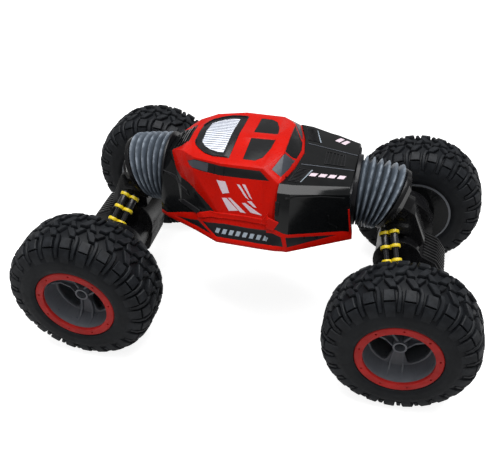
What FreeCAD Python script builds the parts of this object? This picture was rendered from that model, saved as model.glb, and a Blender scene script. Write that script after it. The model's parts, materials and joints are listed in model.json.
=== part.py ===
import FreeCAD, Part
import math
import os

# A remote-control stunt car that stands arched on four balloon tyres. Millimetres.
# +X is the front, +Y the left side, +Z up. The origin is on the ground, midway between the axles.

os.makedirs("parts", exist_ok=True)

# Wheels
AXLE_X = 136.5
AXLE_Z = 65.0
WHEEL_Y = 99.7
TYRE_R = 65.0
TYRE_HALF_WIDTH = 29.85
TYRE_WALL = 4.5
BEAD_R = 31.0
RING_OUTER_R = 35.3
RING_INNER_R = 28.6
RING_FACE = 27.4
HUB_R = 5.8
HUB_HOLE_R = 4.3
HUB_RECESS = 14.0

# Fold joints at the two ends of the body
PIVOT_X = 103.0
PIVOT_Z = 133.5
ARCH_ANGLE = 25.0
PIN_R = 3.0
RUNNING_GAP = 0.05
BELLOWS_R = 30.5
BELLOWS_NECK_R = 26.5
BELLOWS_BORE_R = 24.0
BELLOWS_RIBS = 6
FRONT_END_X = 83.2
REAR_END_X = 85.8
COLLAR_OFFSET = 7.1

# Body
BELT_Z = 112.0
BELLY_Z = 97.0
SKIN = 2.0
SEAM = 0.15

# Things in the belly: the battery bay's sides (x0, x1, y0, y1) and the screws that hold the pan
BATTERY_BAY = (-34, 34, -17, 17)
BELLY_SCREWS = [(-60, -22), (-60, 22), (58, -24), (58, 24), (-6, -40), (-6, 40)]

# Neck that joins a bellows' collar to the axle's case, measured from the fold pivot
NECK_R = 11.0
NECK_START = 17.0
NECK_END = 27.0

# Axle: the central case seen from the side, the round gear case next to each wheel, the motors
CASE_OUTLINE = [(107, 86), (145, 86), (158, 80), (166, 69), (165, 54), (150, 38),
                (128, 36), (110, 48), (105, 66)]
CASE_TOP_XZ = (125.3, 77.5)
CASE_TOP_R = 20.4
CASE_NECK = [(111, 84), (111, 108), (122, 128), (134, 121), (146, 94), (140, 84)]
DRUM_XZ = (127.0, 73.0)
DRUM_R = 24.0
DRUM_IN = 46.0
DRUM_OUT = 66.0
MOTOR_XZ = (AXLE_X - 17.5, AXLE_Z + 4.0)
SHAFT_R = 3.0
GEAR_R = 14.0
PINION_R = 4.0

# Two dampers beside each half of an axle's case, set nearer the body at the front than at the rear
SHOCK_TOP = ((111.8, 10.4, 111.9), (119.6, 10.4, 115.2))
SHOCK_SHIFT = {"front": -4.0, "rear": 4.0}
SHOCK_DIRECTION = (0.232, 0.80, -0.552)
SHOCK_START = 9.3
SHOCK_BODY_END = 26.7
SHOCK_LENGTH = 42.3
SHOCK_R = 3.4
SHOCK_RING_R = 4.55
SHOCK_RING_WIDTH = 3.0
SHOCK_FIRST_RING = 10.5
SHOCK_RING_PITCH = 12.8

# Rim: the dish has three spokes with an opening between each two
SPOKES = 3
OPENING_INNER_R = 9.5
OPENING_OUTER_R = 25.0
OPENING_ROUNDING = 3.0
RIB_SPACING = 6.4


def vec(point):
    return FreeCAD.Vector(*point)


def box(x0, x1, y0, y1, z0, z1):
    return Part.makeBox(x1 - x0, y1 - y0, z1 - z0, vec((x0, y0, z0)))


def cylinder(radius, start, end):
    line = vec(end) - vec(start)
    return Part.makeCylinder(radius, line.Length, vec(start), line)


def tube(outer, inner, start, end):
    return cylinder(outer, start, end).cut(cylinder(inner, start, end))


def polygon_face(points):
    return Part.Face(Part.makePolygon([vec(p) for p in points] + [vec(points[0])]))


def prism_y(outline, y0, y1):
    """Extrude an outline of (x, z) points along Y."""
    return polygon_face([(x, y0, z) for x, z in outline]).extrude(vec((0, y1 - y0, 0)))


def prism_z(outline, z0, z1):
    """Extrude an outline of (x, y) points along Z."""
    return polygon_face([(x, y, z0) for x, y in outline]).extrude(vec((0, 0, z1 - z0)))


def mirror_y(shape):
    return shape.mirror(vec((0, 0, 0)), vec((0, 1, 0)))


def mirror_x(shape):
    return shape.mirror(vec((0, 0, 0)), vec((1, 0, 0)))


def both_sides(outline):
    """An XY outline drawn on the left side, closed by its own mirror image on the right."""
    return outline + [(x, -y) for x, y in reversed(outline) if y > 0]


def fuse(shapes):
    joined = shapes[0]
    for shape in shapes[1:]:
        joined = joined.fuse(shape)
    return joined.removeSplitter()


def skin(loops):
    """A closed solid through loops of points, with flat triangles between neighbours.

    The triangles of the right half mirror those of the left half."""
    faces = []
    count = len(loops[0])
    for near, far in zip(loops, loops[1:]):
        for i in range(count):
            j = (i + 1) % count
            corners = ((near[i], near[j], far[j]), (near[i], far[j], far[i]))
            if i > count // 2:
                corners = ((near[i], near[j], far[i]), (near[j], far[j], far[i]))
            for corner in corners:
                if (vec(corner[1]) - vec(corner[0])).cross(vec(corner[2]) - vec(corner[0])).Length > 1e-6:
                    faces.append(polygon_face(corner))
    for loop in (loops[0], loops[-1]):
        middle = tuple(sum(p[k] for p in loop) / count for k in range(3))
        for i in range(count):
            faces.append(polygon_face((loop[i], loop[(i + 1) % count], middle)))
    shell = Part.makeShell(faces)
    shell.sewShape()
    solid = Part.Solid(shell)
    if solid.Volume < 0:
        solid.reverse()
    return solid


def closed_loop(half, floor_z):
    """A whole cross-section from its left half, closed below by a floor."""
    x_low = half[-1][0]
    half = half + [(x_low, half[-1][1], floor_z)]
    right = [(x, -y, z) for x, y, z in reversed(half) if y > 0]
    return half + right


def inset(half, gap):
    """Move a half cross-section inwards by about the skin's thickness."""
    moved = []
    for i, (x, y, z) in enumerate(half):
        if i == 0:
            moved.append((x, 0, z - gap))
            continue
        before = half[i - 1]
        after = half[i + 1] if i + 1 < len(half) else (x, y, z - 10)
        dy, dz = after[1] - before[1], after[2] - before[2]
        length = math.hypot(dy, dz)
        moved.append((x, max(y + gap * dz / length * 1.1, 1.0), z - gap * dy / length * 1.1))
    return moved


def carried_on(before, last, further):
    """The last cross-section moved a little further along the lines that lead to it."""
    moved = []
    for start, end in zip(before, last):
        length = math.dist(start, end)
        moved.append(tuple(e + (e - s) / length * further for s, e in zip(start, end)))
    return moved


def shell_from(sections, floor_z, gap=SKIN):
    """The outside and the inside of a skin of even thickness, open below and at both ends."""
    outer = skin([closed_loop(half, floor_z) for half in sections])
    inner = [inset(half, gap) for half in sections]
    inner[0] = carried_on(inner[1], inner[0], 5)
    inner[-1] = carried_on(inner[-2], inner[-1], 5)
    return outer, skin([closed_loop(half, floor_z - 5) for half in inner])


# Cross-sections of the cabin from the rear to the windshield's base. Each runs from the roof's
# centre line over the roof edge, the foot of the side window and the side fold to the belt.
CABIN = [
    [(-84, 0, 157), (-84, 14, 156), (-84, 27, 146), (-84, 38, 125), (-84, 40, BELT_Z)],
    [(-77, 0, 160), (-76, 17.6, 161.8), (-73.5, 26, 152), (-76, 42, 124), (-76, 45, BELT_Z)],
    [(-65, 0, 170), (-65, 27.5, 168), (-65, 34, 157.5), (-63, 46, 127), (-63, 51, BELT_Z)],
    [(-52, 0, 173.5), (-52, 38, 169.5), (-52, 42.5, 160.5), (-46, 51, 130), (-48, 58, BELT_Z)],
    [(-27, 0, 174.5), (-27, 44.3, 170.8), (-28, 47.8, 160.3), (-24, 58.5, 130), (-26, 70, BELT_Z)],
    [(8, 0, 175.5), (8, 44, 171), (10, 48.8, 161.6), (10, 60, 130), (10, 71, BELT_Z)],
    [(21, 0, 177), (21, 24, 176.3), (21, 49.3, 162.3), (18, 60.5, 130), (24, 71, BELT_Z)],
    [(34, 0, 163), (30.5, 24, 162.3), (23.5, 48.6, 161.2), (22, 59, 130), (33, 69.5, BELT_Z)],
]

# Cross-sections of the hood: centre line, crease, upper edge, chamfer, belt.
HOOD = [
    [(16, 0, 163), (16, 17, 162.8), (16, 49.8, 162.5), (16, 57.3, 158.4), (16, 70, BELT_Z)],
    [(33, 0, 162.8), (33, 16.4, 162.7), (33, 48.6, 162.0), (33, 56.0, 157.8), (34, 70, BELT_Z)],
    [(79, 0, 159.4), (78.8, 12, 159.4), (78.1, 35, 158.4), (78.5, 43.1, 156.3), (84.2, 40, BELT_Z)],
]

# Cut lines of the panels, seen from the side (x, z) or from above (x, y).
SIDE_WINDOW = [(-58.5, 163.5), (-51.5, 168.0), (-39, 168.5), (-26, 168.7), (5.5, 168.9), (14.0, 162.8),
               (-10, 161.8), (-32, 161.4), (-45, 161.0), (-56, 162.0)]
REAR_FENDER = [(-90, 170), (-82, 170), (-77.5, 158), (-71, 150), (-60, 147), (-50, 144), (-38, 136),
               (-29, 129.5), (-44, 126), (-60, 121), (-78, 113.5), (-90, 113.5)]
REAR_DECK = both_sides([(-90, 0), (-90, 16.5), (-77, 16.5), (-63.5, 14.2), (-63.5, 0)])
FRONT_BELT = [(16, 105), (16, 134), (22, 128.5), (30, 125.7), (90, 116.8), (90, 105)]
SILL_OPENING = [(-41.5, 120.5), (-23, 124.3), (0, 124), (21, 124.8), (28.3, 122.5), (30.7, 114.5),
                (-26, 114.5)]
REAR_SILL_OPENING = [(-67, 114.4), (-45.5, 119.2), (-31, 114.4)]
FRONT_SILL_OPENING = [(34.2, 114.4), (32.2, 122.8), (72, 116.8)]
REAR_FRAME = both_sides([(-58, 0), (-58, 13.5), (-55.5, 20), (-51, 26), (-44, 32), (-36, 35.5),
                         (-22.5, 36), (-22.5, 0)])
LOUVER = both_sides([(-51.5, 0), (-51, 16), (-46.5, 22), (-41, 26), (-33.5, 28.7), (-29, 28.7), (-29, 0)])
SUNROOF = [(-11, 5), (-11, 35), (-1, 35), (4.5, 30), (8.5, 17), (10, 5)]
WINDSHIELD = both_sides([(21.6, 0), (21.6, 21.5), (25.4, 18.5), (29.8, 13.5), (31.5, 0)])
QUARTER_WINDOW = [(14.6, 41.3), (22, 23.8), (25.8, 20.2), (29.2, 16.8), (27, 29), (22.6, 43.4)]


def grown(outline, gap):
    """The outline enlarged about its middle, so two panels keep a seam between them."""
    cx = sum(p[0] for p in outline) / len(outline)
    cy = sum(p[1] for p in outline) / len(outline)
    moved = []
    for x, y in outline:
        length = math.hypot(x - cx, y - cy)
        scale = (length + gap) / length
        moved.append((cx + (x - cx) * scale, cy + (y - cy) * scale))
    return moved


def side_cut(outline, gap=0.0):
    return prism_y(grown(outline, gap), -90, 90)


def top_cut(outline, gap=0.0, low=150):
    return prism_z(grown(outline, gap), low, 190)


def pair_cut(outline, gap=0.0, low=150):
    cutter = top_cut(outline, gap, low)
    return Part.makeCompound([cutter, mirror_y(cutter)])


def keep_solids(shape, smallest=30.0):
    return [s for s in shape.Solids if s.Volume > smallest]


def panel_cutters(gap):
    """For each panel of the cabin, the solid that covers its share of the skin."""
    sills = [side_cut(s, gap) for s in (SILL_OPENING, REAR_SILL_OPENING, FRONT_SILL_OPENING)]
    rear = side_cut(REAR_FENDER, gap).fuse(top_cut(REAR_DECK, gap))
    return {
        "side_windows": side_cut(SIDE_WINDOW, gap),
        "rear_fenders": rear.removeSplitter(),
        "sill_panels": Part.makeCompound(sills),
        "rear_window_frame": top_cut(REAR_FRAME, gap, 165),
        "sunroof_panels": pair_cut(SUNROOF, gap, 165),
        "windshield": top_cut(WINDSHIELD, gap),
        "quarter_windows": pair_cut(QUARTER_WINDOW, gap),
    }


def body_panels():
    """Cut the cabin's skin, with the belt that runs on under the hood, into its panels."""
    outer, inner = shell_from(CABIN, BELT_Z - 2)
    hood_outer, hood_inner = shell_from(HOOD, BELT_Z - 2)
    hood = hood_outer.cut(hood_inner)
    belt = hood.common(side_cut(FRONT_BELT)).cut(outer)
    cabin = fuse([outer.cut(inner)] + keep_solids(belt, 200.0))
    panels = {}
    for name, cutter in panel_cutters(0.0).items():
        panels[name] = keep_solids(cabin.common(cutter))
    for gap in (SEAM, 0.0):
        for cutter in panel_cutters(gap).values():
            for piece in cutter.Solids:
                cabin = cabin.cut(piece)
    panels["cabin_shell"] = keep_solids(cabin, 200.0)
    frame = panels["rear_window_frame"][0]
    panels["louver_panel"] = keep_solids(frame.common(top_cut(LOUVER, low=165)))
    panels["rear_window_frame"] = keep_solids(frame.cut(top_cut(LOUVER, SEAM, 165)))
    room = skin([closed_loop(half, BELT_Z - 4) for half in
                 [[(x + (0.3 if i > 2 else 0), y * 1.005, z + 0.3) for x, y, z in half]
                  for i, half in enumerate(CABIN)]])
    hood = hood.cut(room).cut(side_cut(FRONT_BELT)).cut(side_cut(FRONT_BELT, SEAM))
    panels["hood_cover"] = keep_solids(hood, 200.0)
    return panels


def tub_outline(narrower):
    """The tub seen from above, drawn on the left and mirrored to the right."""
    left = [(-79.5, 38), (-73, 44), (-26, 69), (33, 69), (79.5, 39)]
    left = [(x, y - narrower) for x, y in left]
    return left + [(x, -y) for x, y in reversed(left)]


def tub_loops(gap, z_low, z_high):
    lower = [(x * (1 - gap / 90), y, z_low) for x, y in tub_outline(19 + gap)]
    upper = [(x * (1 - gap / 90), y, z_high) for x, y in tub_outline(1 + gap)]
    return [lower, upper]


def tub():
    """The black pan under the belt, with a battery bay open to the belly."""
    shape = skin(tub_loops(0, BELLY_Z, BELT_Z - 2.3))
    shape = shape.cut(skin(tub_loops(2.5, BELLY_Z + 2.5, BELT_Z + 5)))
    x0, x1, y0, y1 = BATTERY_BAY
    bay = box(x0 - 2, x1 + 2, y0 - 2, y1 + 2, BELLY_Z, BELLY_Z + 27)
    shape = shape.fuse(bay)
    shape = shape.cut(box(x0, x1, y0, y1, BELLY_Z - 1, BELLY_Z + 25))
    shape = shape.cut(box(x0 - 1, x1 + 1, y0 - 1, y1 + 1, BELLY_Z - 1, BELLY_Z + 1.8))
    shape = shape.cut(box(46, 58, -5, 5, BELLY_Z - 1, BELLY_Z + 1.2))
    shape = shape.cut(box(47.5, 56.5, -2.2, 2.2, BELLY_Z - 1, BELLY_Z + 3))
    for x, y in BELLY_SCREWS:
        shape = shape.fuse(cylinder(4, (x, y, BELLY_Z + 0.01), (x, y, BELT_Z - 6)))
        shape = shape.cut(cylinder(1.3, (x, y, BELLY_Z - 1), (x, y, BELT_Z - 5)))
        shape = shape.cut(cylinder(2.9, (x, y, BELLY_Z - 1), (x, y, BELLY_Z + 2.0)))
    return shape.removeSplitter()


def screw(x, y, z):
    """A pan-head screw seen from below, with a cross recess."""
    head = cylinder(2.6, (x, y, z), (x, y, z + 1.7))
    shank = cylinder(1.25, (x, y, z + 1.5), (x, y, z + 9))
    slot = box(x - 1.6, x + 1.6, y - 0.3, y + 0.3, z - 1, z + 0.8)
    cross = box(x - 0.3, x + 0.3, y - 1.6, y + 1.6, z - 1, z + 0.8)
    return head.fuse(shank).cut(slot).cut(cross)


def battery_door():
    x0, x1, y0, y1 = BATTERY_BAY
    door = box(x0 - 0.8, x1 + 0.8, y0 - 0.8, y1 + 0.8, BELLY_Z, BELLY_Z + 1.6)
    for i in range(6):
        x = x0 + 8 + i * 10
        door = door.cut(box(x, x + 3, -11, 11, BELLY_Z - 1, BELLY_Z + 0.6))
    return door


def battery_pack():
    """Three cells side by side in a shrink sleeve."""
    cells = [cylinder(5.0, (-29, y, BELLY_Z + 8), (29, y, BELLY_Z + 8)) for y in (-9.8, 0, 9.8)]
    return fuse(cells + [box(-27, 27, -9.8, 9.8, BELLY_Z + 4, BELLY_Z + 12)])


def receiver_board():
    z = BELLY_Z + 28
    board = box(-30, 30, -18, 18, z, z + 1.6)
    chips = [box(-20, -8, -8, 4, z + 1.6, z + 3.4), box(2, 9, -12, -5, z + 1.6, z + 3.0),
             cylinder(3, (18, 8, z + 1.6), (18, 8, z + 9)), box(-26, -20, 8, 16, z + 1.6, z + 7)]
    return fuse([board] + chips)


def switch_knob():
    """The power switch: a ribbed knob in the belly that slides along X."""
    knob = box(47.9, 52.1, -1.8, 1.8, BELLY_Z + 0.3, BELLY_Z + 2.9)
    flange = box(46.6, 53.4, -4.2, 4.2, BELLY_Z + 3.05, BELLY_Z + 4.2)
    stem = box(48.5, 51.5, -1.5, 1.5, BELLY_Z + 2.5, BELLY_Z + 3.4)
    return fuse([knob, stem, flange])


FRONT_WALL = [(36, 110.2), (38, 125), (39.5, 150), (37, 153.5), (30, 155.5)]
REAR_WALL = [(33.5, 110.2), (33.5, 123), (22.5, 142), (11.5, 151)]


def bulkhead(half_outline, x0, end_x):
    """An end wall of the body, with the fold joint's two ears and the bellows' flange."""
    x1 = x0 + 3
    outline = half_outline + [(-y, z) for y, z in reversed(half_outline)]
    wall = polygon_face([(x0, y, z) for y, z in outline]).extrude(vec((x1 - x0, 0, 0)))
    flange = tube(BELLOWS_R, BELLOWS_BORE_R, (x1, 0, PIVOT_Z), (end_x, 0, PIVOT_Z))
    disc = cylinder(BELLOWS_R, (x1, 0, PIVOT_Z), (x1 + 1.5, 0, PIVOT_Z))
    parts = [wall, flange, disc]
    for side in (-1, 1):
        y0 = side * 10.0
        ear = box(x0 + 0.5, PIVOT_X, y0 - 2, y0 + 2, PIVOT_Z - 7, PIVOT_Z + 7)
        round_end = cylinder(7, (PIVOT_X, y0 - 2, PIVOT_Z), (PIVOT_X, y0 + 2, PIVOT_Z))
        parts += [ear, round_end]
    shape = fuse(parts)
    return shape.cut(cylinder(PIN_R + RUNNING_GAP, (PIVOT_X, -20, PIVOT_Z), (PIVOT_X, 20, PIVOT_Z)))


def tilted(shape):
    """Move a shape drawn about the fold pivot into the arched rest pose of the front end."""
    place = FreeCAD.Placement(vec((PIVOT_X, 0, PIVOT_Z)), FreeCAD.Rotation(vec((0, 1, 0)), ARCH_ANGLE))
    moved = shape.copy()
    moved.Placement = place.multiply(moved.Placement)
    return moved


def bellows(end_x):
    """Ribbed boot between the body's end and the collar, bent down by the arch angle."""
    tilt = math.radians(ARCH_ANGLE)
    reach = COLLAR_OFFSET + 0.6
    start = (end_x + 0.3, PIVOT_Z)
    end = (PIVOT_X + reach * math.cos(tilt), PIVOT_Z - reach * math.sin(tilt))
    outer = []
    inner = []
    steps = 2 * BELLOWS_RIBS
    for i in range(steps + 1):
        s = i / steps
        centre = vec((start[0] + s * (end[0] - start[0]), 0, start[1] + s * (end[1] - start[1])))
        normal = vec((math.cos(s * tilt), 0, -math.sin(s * tilt)))
        radius = BELLOWS_NECK_R if i % 2 == 0 else BELLOWS_R
        outer.append(Part.Wire(Part.Circle(centre, normal, radius).toShape()))
        inner.append(Part.Wire(Part.Circle(centre, normal, BELLOWS_BORE_R).toShape()))
    return Part.makeLoft(outer, True, True).cut(Part.makeLoft(inner, True, True))


def knuckle():
    """The axle's side of the fold joint: tongue, collar plate and a faceted neck."""
    tongue = box(0, 13, -7.6, 7.6, -6.5, 6.5)
    eye = cylinder(6.5, (0, -7.6, 0), (0, 7.6, 0))
    plate = cylinder(28.0, (COLLAR_OFFSET + 1.2, 0, 0), (COLLAR_OFFSET + 5, 0, 0))
    ring = []
    for radius, u in ((27.5, COLLAR_OFFSET + 5), (22.5, NECK_START)):
        ring.append(Part.makePolygon([vec((u, radius * math.cos(a), radius * math.sin(a)))
                                      for a in [math.radians(22.5 + 45 * k) for k in range(9)]]))
    collar = Part.makeLoft(ring, True, True)
    neck = cylinder(NECK_R, (NECK_START, 0, 0), (NECK_END, 0, 0))
    shape = fuse([tongue, eye, plate, collar, neck])
    shape = shape.cut(cylinder(PIN_R + RUNNING_GAP, (0, -20, 0), (0, 20, 0)))
    return tilted(shape)


def fold_pin():
    pin = cylinder(PIN_R, (0, -12.6, 0), (0, 12.6, 0))
    return tilted(pin)


def fold_drive():
    """A geared motor that bends this end of the body."""
    gearbox = box(50, 72, -13, 13, 121, 147)
    motor = cylinder(9, (34, 0, 134), (50, 0, 134))
    output = cylinder(4, (72, 0, 134), (76.8, 0, 134))
    return fuse([gearbox, motor, output])


def gearbox_case():
    """The axle's central case with a narrow neck up to the collar."""
    x, z = CASE_TOP_XZ
    dome = cylinder(CASE_TOP_R, (x, -20, z), (x, 20, z))
    lips = [cylinder(CASE_TOP_R + 1.2, (x, y, z), (x, y + 2.2, z)) for y in (-20, 17.8)]
    inside = [(AXLE_X + (px - AXLE_X) * 0.9, 63 + (pz - 63) * 0.9) for px, pz in CASE_OUTLINE]
    hollow = prism_y(inside, -17.5, 17.5).fuse(cylinder(CASE_TOP_R - 2.5, (x, -17.5, z), (x, 17.5, z)))
    case = fuse([prism_y(CASE_OUTLINE, -20, 20), dome, prism_y(CASE_NECK, -9, 9)] + lips)
    case = case.cut(hollow)
    case = case.fuse(box(107, 130, -14.0, 14.0, 104, 111))
    room = fuse([cylinder(28.4, (5, 0, 0), (COLLAR_OFFSET + 5.1, 0, 0)),
                 cylinder(25.0, (9, 0, 0), (NECK_START + 0.1, 0, 0)),
                 cylinder(NECK_R + 0.05, (9, 0, 0), (NECK_END + 0.1, 0, 0))])
    case = case.cut(tilted(room))
    return max(case.removeSplitter().Solids, key=lambda s: s.Volume)


def side_arm():
    """The left arm: a motor sleeve beside the case and a round gear case next to the wheel."""
    x, z = DRUM_XZ
    mx, mz = MOTOR_XZ
    outside = [cylinder(12, (AXLE_X, 20.1, AXLE_Z), (AXLE_X, 47, AXLE_Z)),
               cylinder(12, (mx, 20.1, mz), (mx, 47, mz)),
               cylinder(DRUM_R, (x, DRUM_IN, z), (x, DRUM_OUT, z)),
               cylinder(19, (AXLE_X, DRUM_IN, AXLE_Z), (AXLE_X, DRUM_OUT, AXLE_Z)),
               box(116, 141, DRUM_IN - 3, DRUM_IN + 1, z - 6, z + 9)]
    inside = [cylinder(DRUM_R - 2.5, (x, DRUM_IN + 2.5, z), (x, DRUM_OUT - 2.5, z)),
              cylinder(16.5, (AXLE_X, DRUM_IN + 2.5, AXLE_Z), (AXLE_X, DRUM_OUT - 2.5, AXLE_Z)),
              cylinder(9.9, (mx, 20, mz), (mx, 43, mz)),
              cylinder(3, (mx, 42, mz), (mx, DRUM_IN + 4, mz)),
              cylinder(6, (AXLE_X, 20, AXLE_Z), (AXLE_X, 43, AXLE_Z)),
              cylinder(7.5, (AXLE_X, DRUM_OUT - 4, AXLE_Z), (AXLE_X, DRUM_OUT + 1, AXLE_Z))]
    shape = fuse(outside)
    for room in inside:
        shape = shape.cut(room)
    boss = tube(8, SHAFT_R + RUNNING_GAP, (AXLE_X, DRUM_OUT - 4, AXLE_Z), (AXLE_X, 72.5, AXLE_Z))
    return shape.fuse(boss).removeSplitter()


def motor():
    """The left drive motor, lying in the arm's sleeve behind its pinion."""
    x, z = MOTOR_XZ
    can = cylinder(9.8, (x, 22.5, z), (x, 42.7, z))
    return can.fuse(cylinder(2.4, (x, 20.5, z), (x, 22.5, z)))


def wheel_shaft():
    """The left wheel's shaft with its spur gear, held in the arm's boss."""
    shaft = cylinder(SHAFT_R, (AXLE_X, 49, AXLE_Z), (AXLE_X, 92, AXLE_Z))
    gear = cylinder(GEAR_R, (AXLE_X, 52, AXLE_Z), (AXLE_X, 57, AXLE_Z))
    hexagon = [(AXLE_X + 6 * math.cos(math.radians(60 * k)), AXLE_Z + 6 * math.sin(math.radians(60 * k)))
               for k in range(6)]
    return fuse([shaft, gear, prism_y(hexagon, 72.8, 75.8)])


def pinion():
    """The left motor's pinion and its short shaft."""
    distance = GEAR_R + PINION_R + RUNNING_GAP
    direction = math.hypot(MOTOR_XZ[0] - AXLE_X, MOTOR_XZ[1] - AXLE_Z)
    x = AXLE_X + (MOTOR_XZ[0] - AXLE_X) * distance / direction
    z = AXLE_Z + (MOTOR_XZ[1] - AXLE_Z) * distance / direction
    return cylinder(PINION_R, (x, 51, z), (x, 58, z)).fuse(cylinder(1.5, (x, 42.8, z), (x, 60, z)))


def shock_points(top, distance):
    length = math.sqrt(sum(c * c for c in SHOCK_DIRECTION))
    return tuple(t + c / length * distance for t, c in zip(top, SHOCK_DIRECTION))


def shock_tops(end):
    return [(x + SHOCK_SHIFT[end], y, z) for x, y, z in SHOCK_TOP]


def shocks(end):
    """The two dampers of the left side."""
    made = []
    for top in shock_tops(end):
        body = cylinder(SHOCK_R, shock_points(top, SHOCK_START), shock_points(top, SHOCK_BODY_END))
        rod = cylinder(SHOCK_R * 0.6, shock_points(top, SHOCK_BODY_END - 1), shock_points(top, SHOCK_LENGTH))
        made.append(body.fuse(rod))
    return made


def shock_rings(end):
    """Three yellow collars round each damper of the left side."""
    made = []
    for top in shock_tops(end):
        for i in range(3):
            start = SHOCK_FIRST_RING + i * SHOCK_RING_PITCH
            stop = start + SHOCK_RING_WIDTH
            bore = SHOCK_R + 0.1 if stop < SHOCK_BODY_END else SHOCK_R * 0.6 + 0.1
            made.append(tube(SHOCK_RING_R, bore, shock_points(top, start), shock_points(top, stop)))
    return made


def revolved(profile):
    """Revolve a profile of (radius, offset) points about the left front wheel's axis.

    The offset is measured outwards from the tyre's middle plane."""
    face = polygon_face([(AXLE_X, WHEEL_Y + w, AXLE_Z + r) for r, w in profile])
    return face.revolve(vec((AXLE_X, WHEEL_Y, AXLE_Z)), vec((0, 1, 0)), 360)


def tyre_outline(wall):
    """Half of the tyre's section from the crown to the bead, moved inwards by the wall."""
    points = []
    half_height = 30.9
    for k in range(9):
        angle = math.radians(90 * k / 8 * 0.97)
        power = 2 / 3.4
        r = TYRE_R - half_height + (half_height - wall) * math.cos(angle) ** power
        w = (TYRE_HALF_WIDTH - wall) * math.sin(angle) ** power
        points.append((r, w))
    return points


def tyre():
    outer = tyre_outline(0.0)
    inner = tyre_outline(TYRE_WALL)
    bead_w = RING_FACE - 3.1
    half = outer + [(RING_OUTER_R + 0.15, RING_FACE), (RING_OUTER_R + 0.15, bead_w), (BEAD_R + 0.05, bead_w),
                    (BEAD_R + 0.05, bead_w - 4)]
    inside = [p for p in inner if p[0] > RING_OUTER_R + 1]
    right = [(r, -w) for r, w in reversed(half[1:])]
    right_inside = [(r, -w) for r, w in inside[1:]]
    loop = half + list(reversed(inside)) + right_inside + right
    return revolved(loop)


def clamp_ring():
    """The ring that clamps the tyre's outer bead, with shallow screw pockets."""
    w0, w1 = RING_FACE - 3, RING_FACE
    ring = revolved([(RING_INNER_R, w0), (RING_OUTER_R - 0.8, w0), (RING_OUTER_R, w0 + 0.8),
                     (RING_OUTER_R, w1 - 0.8), (RING_OUTER_R - 0.8, w1), (RING_INNER_R, w1)])
    for k in range(9):
        angle = math.radians(90 + 40 * k)
        x = AXLE_X + 32 * math.cos(angle)
        z = AXLE_Z + 32 * math.sin(angle)
        ring = ring.cut(cylinder(0.9, (x, WHEEL_Y + w1 - 1, z), (x, WHEEL_Y + w1 + 1, z)))
    return ring


def about_axle(shape, degrees):
    """Turn a shape about the left front wheel's axis; 90 degrees takes forwards to downwards."""
    turned = shape.copy()
    turned.rotate(vec((AXLE_X, 0, AXLE_Z)), vec((0, 1, 0)), degrees)
    return turned


def rim_openings():
    """The openings of the dish, one between each two spokes, with rounded corners."""
    near = OPENING_INNER_R + OPENING_ROUNDING
    far = OPENING_OUTER_R - OPENING_ROUNDING
    corners = [(near, -25), (far, -31), (far, -16), (far, 0), (far, 16), (far, 31), (near, 25)]
    outline = []
    for r, degrees in corners:
        angle = math.radians(degrees)
        outline.append(vec((AXLE_X + r * math.cos(angle), WHEEL_Y - 5, AXLE_Z + r * math.sin(angle))))
    rounded = Part.makePolygon(outline + [outline[0]]).makeOffset2D(OPENING_ROUNDING)
    opening = Part.Face(rounded).extrude(vec((0, 36, 0)))
    return [about_axle(opening, 30 + 360 / SPOKES * k) for k in range(SPOKES)]


def spoke_ribs():
    """Two ribs on each spoke that spread towards the barrel."""
    keep = revolved([(HUB_R - 0.5, 2.0), (28.5, 6.0), (28.5, 21), (26.9, 14), (21, 9), (12, 8.5),
                     (HUB_R - 0.5, 12)])
    ribs = []
    for k in range(SPOKES):
        for side in (-1, 1):
            rib = box(AXLE_X + HUB_R - 1, AXLE_X + 28.4, WHEEL_Y, WHEEL_Y + 22, AXLE_Z - 0.8, AXLE_Z + 0.8)
            rib.translate(vec((0, 0, side * RIB_SPACING / 2)))
            rib = about_axle(rib, 90 + 360 / SPOKES * k + side * -5)
            ribs.append(rib.common(keep))
    return ribs


def rim():
    """Barrel, deep dish with three openings, hub tube and a closed inner disc."""
    w_face = RING_FACE - 3.05
    barrel = revolved([(BEAD_R, -w_face), (RING_OUTER_R, -w_face), (RING_OUTER_R, -RING_FACE),
                       (29, -RING_FACE), (28.4, -w_face + 1), (28.4, w_face), (BEAD_R, w_face)])
    dish = revolved([(28.5, 14), (28.5, 19), (26.2, 7.5), (HUB_R - 0.5, 4.0), (HUB_R - 0.5, 1.5),
                     (26.5, 4.5)])
    for opening in rim_openings():
        dish = dish.cut(opening)
    disc = revolved([(HUB_R + 2, -25.8), (28.6, -25.8), (28.6, -23.4), (HUB_R + 2, -23.4)])
    front = RING_FACE - HUB_RECESS
    hub = revolved([(HUB_HOLE_R, -1.5), (HUB_HOLE_R, front), (HUB_R, front), (HUB_R, -1.5)])
    back = revolved([(SHAFT_R + 0.02, -12), (HUB_R, -12), (HUB_R + 2.2, -23.8), (HUB_R + 2.2, -25.8),
                     (6.2, -25.8), (6.2, -23.8), (SHAFT_R + 0.02, -23.8)])
    core = revolved([(SHAFT_R + 0.02, -12.5), (HUB_R, -12.5), (HUB_R, -1), (SHAFT_R + 0.02, -1)])
    return fuse([barrel, dish, disc, hub, core, back] + spoke_ribs())


def solids_of(shape):
    if isinstance(shape, (list, tuple)):
        found = []
        for item in shape:
            found += solids_of(item)
        return found
    return shape.Solids


def save(name, shape):
    solids = solids_of(shape)
    for solid in solids:
        if not solid.isValid() or solid.Volume <= 0:
            print("CHECK", name, solid.isValid(), solid.Volume)
    group = solids[0] if len(solids) == 1 else Part.makeCompound(solids)
    group.exportStep("parts/" + name + ".step")
    print(name, len(solids), round(sum(s.Volume for s in solids)))


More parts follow.
